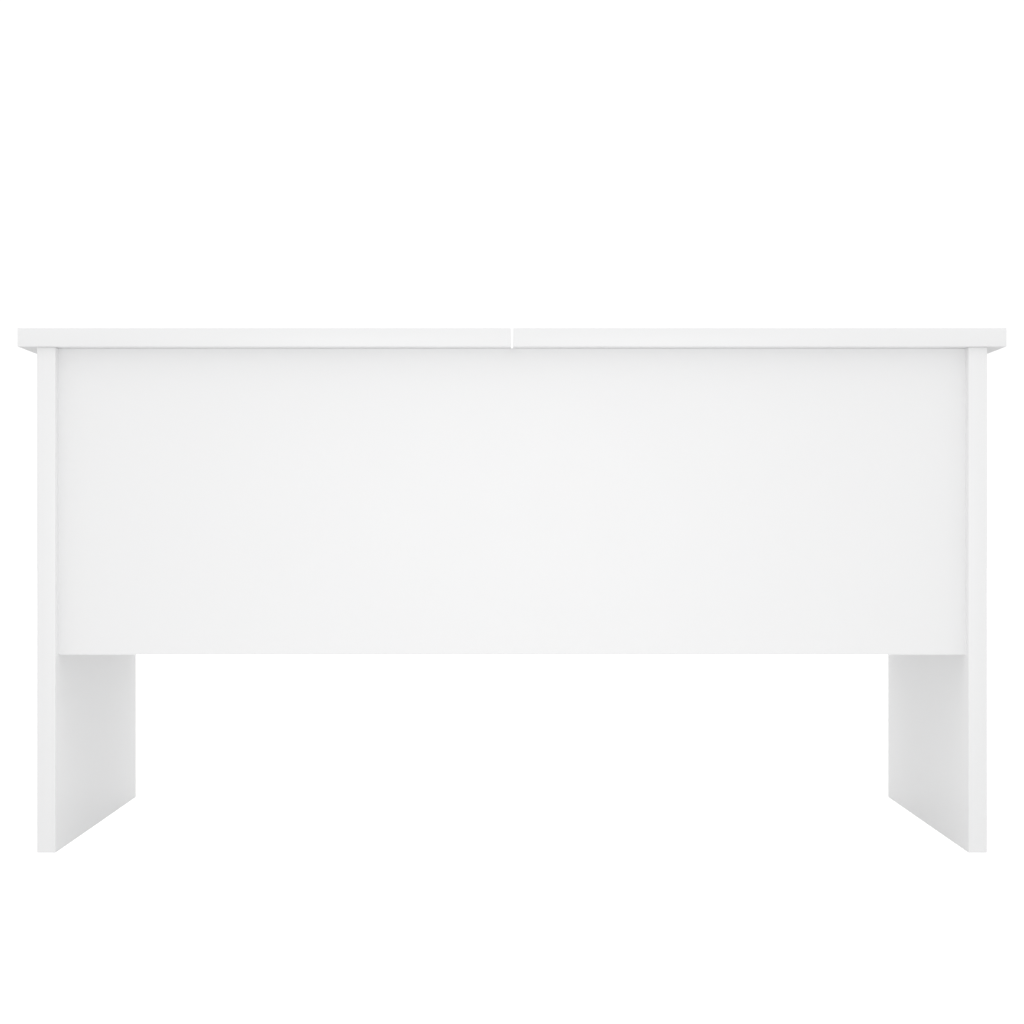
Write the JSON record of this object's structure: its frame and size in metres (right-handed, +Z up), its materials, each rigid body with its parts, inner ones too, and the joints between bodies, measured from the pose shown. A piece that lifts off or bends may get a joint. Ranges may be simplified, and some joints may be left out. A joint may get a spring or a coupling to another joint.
{
  "type": "lift top coffee table",
  "caption": "White rectangular coffee table on two full-height side panels, with a deep apron box under a split top whose leaves lift up and forward on spring linkages.",
  "frame": {"origin": "on the floor under the middle of the table, with both leaves closed", "axes": "+X along the table's length to the right seen from the front, +Z up, front towards -Y"},
  "size_m": [0.8, 0.5, 0.425],
  "materials": {
    "white_board": "white satin melamine on particle board",
    "white_edging": "white satin plastic edging",
    "mechanism_steel": "black powder coat",
    "spring_steel": "drawn spring wire",
    "bright_rivet": "bright zinc plated",
    "zinc_screw": "zinc plated",
    "zinc_cam": "die-cast zinc alloy, nickel colour",
    "beech_dowel": "plain beech",
    "clear_bumper": "soft clear polyurethane",
    "black_rubber": "matt black rubber"
  },
  "bodies": {
    "carcass": {"back_apron": "white_board", "back_apron_edge_strips": "white_edging", "base_bracket_screws": "zinc_screw", "base_pivot_rivets": "bright_rivet", "bottom_panel": "white_board", "cam_bolts": "zinc_screw", "cam_locks": "zinc_cam", "centre_divider": "white_board", "divider_bolts": "zinc_screw", "divider_edge_strip": "white_edging", "divider_nuts": "zinc_screw", "front_apron": "white_board", "front_apron_edge_strips": "white_edging", "leaf_bumpers": "clear_bumper", "left_inner_base_bracket": "mechanism_steel", "left_lift_spring": "spring_steel", "left_outer_base_bracket": "mechanism_steel", "left_side_edge_strips": "white_edging", "left_side_panel": "white_board", "raised_stop_pads": "black_rubber", "right_inner_base_bracket": "mechanism_steel", "right_lift_spring": "spring_steel", "right_outer_base_bracket": "mechanism_steel", "right_side_edge_strips": "white_edging", "right_side_panel": "white_board", "spring_anchor_posts": "bright_rivet", "wood_dowels": "beech_dowel"},
    "left_rear_arms": {"left_outer_rear_arm": "mechanism_steel", "left_inner_rear_arm": "mechanism_steel", "left_lever_pin": "bright_rivet"},
    "left_front_arms": {"left_outer_front_arm": "mechanism_steel", "left_inner_front_arm": "mechanism_steel"},
    "left_lifting_leaf": {"left_leaf": "white_board", "left_leaf_edge_strips": "white_edging", "left_outer_top_bracket": "mechanism_steel", "left_inner_top_bracket": "mechanism_steel", "left_top_pivot_rivets": "bright_rivet", "left_top_bracket_screws": "zinc_screw"},
    "right_rear_arms": {"right_outer_rear_arm": "mechanism_steel", "right_inner_rear_arm": "mechanism_steel", "right_lever_pin": "bright_rivet"},
    "right_front_arms": {"right_outer_front_arm": "mechanism_steel", "right_inner_front_arm": "mechanism_steel"},
    "right_lifting_leaf": {"right_leaf": "white_board", "right_leaf_edge_strips": "white_edging", "right_outer_top_bracket": "mechanism_steel", "right_inner_top_bracket": "mechanism_steel", "right_top_pivot_rivets": "bright_rivet", "right_top_bracket_screws": "zinc_screw"}
  },
  "joints": [
    {"name": "left_leaf_lift", "type": "hinge", "parent": "carcass", "child": "left_rear_arms", "pos_m": [-0.1885, -0.06, 0.32503], "axis": [1, 0, 0], "range_deg": [0, 116], "stiffness_Nm_per_rad": 0.6, "springref_deg": 116, "deforming": ["left_lift_spring"]},
    {"name": "left_leaf_level", "type": "hinge", "parent": "left_rear_arms", "child": "left_lifting_leaf", "pos_m": [-0.1885, 0.149, 0.347], "axis": [1, 0, 0], "range_deg": [-116, 0]},
    {"name": "left_front_arm_swing", "type": "hinge", "parent": "carcass", "child": "left_front_arms", "pos_m": [-0.1885, -0.17, 0.37003], "axis": [1, 0, 0], "range_deg": [0, 116]},
    {"name": "right_leaf_lift", "type": "hinge", "parent": "carcass", "child": "right_rear_arms", "pos_m": [0.1885, -0.06, 0.32503], "axis": [1, 0, 0], "range_deg": [0, 116], "stiffness_Nm_per_rad": 0.6, "springref_deg": 116, "deforming": ["right_lift_spring"]},
    {"name": "right_leaf_level", "type": "hinge", "parent": "right_rear_arms", "child": "right_lifting_leaf", "pos_m": [0.1885, 0.149, 0.347], "axis": [1, 0, 0], "range_deg": [-116, 0]},
    {"name": "right_front_arm_swing", "type": "hinge", "parent": "carcass", "child": "right_front_arms", "pos_m": [0.1885, -0.17, 0.37003], "axis": [1, 0, 0], "range_deg": [0, 116]}
  ],
  "couplings": [
    {"joint": "left_leaf_level", "follows": "left_leaf_lift", "ratio": -1},
    {"joint": "left_front_arm_swing", "follows": "left_leaf_lift", "ratio": 1},
    {"joint": "right_leaf_level", "follows": "right_leaf_lift", "ratio": -1},
    {"joint": "right_front_arm_swing", "follows": "right_leaf_lift", "ratio": 1}
  ]
}
